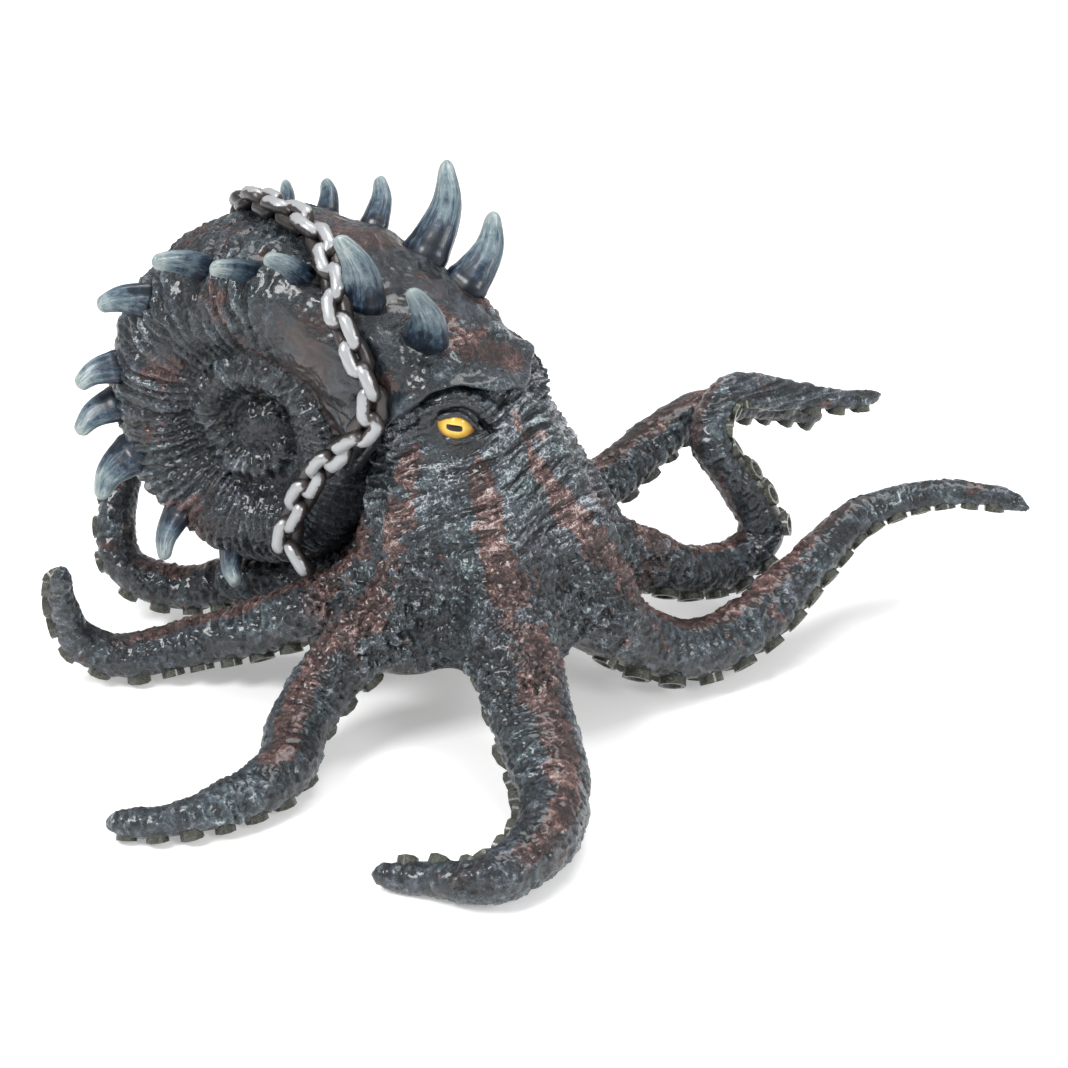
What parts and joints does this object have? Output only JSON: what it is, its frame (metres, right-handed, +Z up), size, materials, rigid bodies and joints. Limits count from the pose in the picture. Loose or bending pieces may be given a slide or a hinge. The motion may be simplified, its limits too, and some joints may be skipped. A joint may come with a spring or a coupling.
{
  "type": "octopus figurine",
  "caption": "Octopus with curling suckered arms that carries a coiled, horned shell with a chain draped over it, as a painted vinyl ornament that stands on its suckers.",
  "frame": {"origin": "middle of the figurine's box, on the surface that it stands on", "axes": "+X is the way the head faces, +Y is to the animal's left, and +Z is up"},
  "size_m": [0.1884, 0.1904, 0.1091],
  "materials": {
    "skin": "dark blue-grey vinyl with warts and wrinkles, a light grey dry-brushed wash, red-brown streaks and a satin lacquer",
    "shell": "dark slate vinyl with growth folds picked out in light grey, red-brown blotches and a satin lacquer",
    "horn": "slate at the foot and pale grey-green towards the blunt tip, streaked lengthwise",
    "eye": "golden yellow with a dark bar pupil under gloss lacquer",
    "chain": "dark brown-grey in the recesses with silver paint rubbed over the tops of the links"
  },
  "bodies": {
    "root": {"head": "skin", "arm_front_left": "skin", "arm_front": "skin", "arm_right": "skin", "arm_back_right": "skin", "arm_back": "skin", "arm_back_left": "skin", "arm_left": "skin", "arm_far_left": "skin", "eye_left": "eye", "eye_right": "eye", "horn_left_1": "horn", "horn_left_2": "horn", "horn_left_3": "horn", "horn_left_4": "horn", "horn_left_5": "horn", "horn_left_6": "horn", "horn_left_7": "horn", "horn_left_8": "horn", "horn_left_9": "horn", "horn_left_10": "horn", "horn_left_11": "horn", "horn_right_1": "horn", "horn_right_2": "horn", "horn_right_3": "horn", "horn_right_4": "horn", "horn_right_5": "horn", "horn_right_6": "horn", "horn_right_7": "horn", "horn_right_8": "horn", "horn_right_9": "horn", "horn_right_10": "horn", "horn_right_11": "horn", "shell": "shell", "chain": "chain"}
  },
  "joints": []
}
